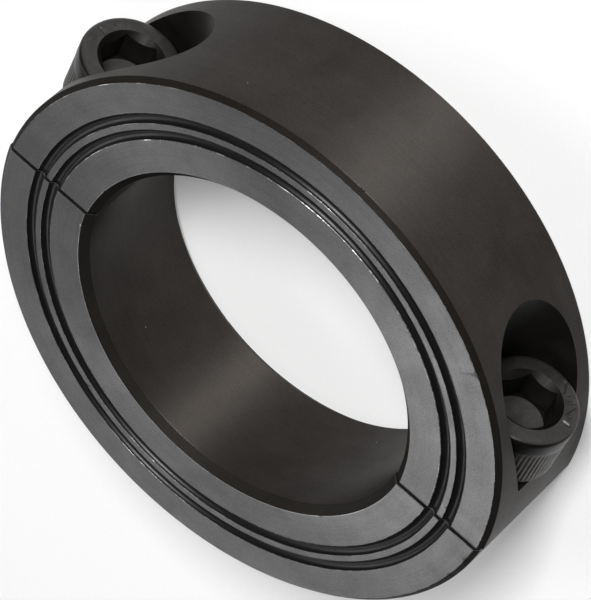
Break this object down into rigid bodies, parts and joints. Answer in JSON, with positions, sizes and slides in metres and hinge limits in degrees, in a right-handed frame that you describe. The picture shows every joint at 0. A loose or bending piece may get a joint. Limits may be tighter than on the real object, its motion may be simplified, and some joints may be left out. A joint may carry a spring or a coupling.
{
  "type": "shaft collar",
  "caption": "Split clamping shaft collar: a counterbored half and a tapped half, drawn together round a shaft by socket head cap screws.",
  "frame": {"origin": "centre of the collar's box, on its back face", "axes": "+Z along the bore, from the plain back face to the grooved front face; +X along the split, towards the right screw; +Y from the tapped half to the clamp half"},
  "size_m": [0.07, 0.068, 0.0175],
  "materials": {
    "collar_steel": "turned steel with a satin black-oxide coating",
    "screw_steel": "forged and rolled alloy steel with a black-oxide coating, lightly oiled"
  },
  "bodies": {
    "tapped_half": {"tapped_half": "collar_steel"},
    "clamp_half": {"clamp_half": "collar_steel"},
    "left_screw": {"left_screw": "screw_steel"},
    "right_screw": {"right_screw": "screw_steel"}
  },
  "joints": [
    {"name": "clamp_half_slide", "type": "slide", "parent": "tapped_half", "child": "clamp_half", "axis": [0, 1, 0], "range_m": [-0.00049, 0.01058]},
    {"name": "left_screw_turn", "type": "hinge", "parent": "clamp_half", "child": "left_screw", "pos_m": [-0.02909, 0, 0.00873], "axis": [0, 1, 0], "range_deg": [-165, 3600]},
    {"name": "right_screw_turn", "type": "hinge", "parent": "clamp_half", "child": "right_screw", "pos_m": [0.02891, 0, 0.00873], "axis": [0, 1, 0], "range_deg": [-165, 3600]}
  ],
  "couplings": [
    {"joint": "left_screw_turn", "follows": "clamp_half_slide", "rad_per_m": 5936.9},
    {"joint": "right_screw_turn", "follows": "clamp_half_slide", "rad_per_m": 5936.9}
  ]
}
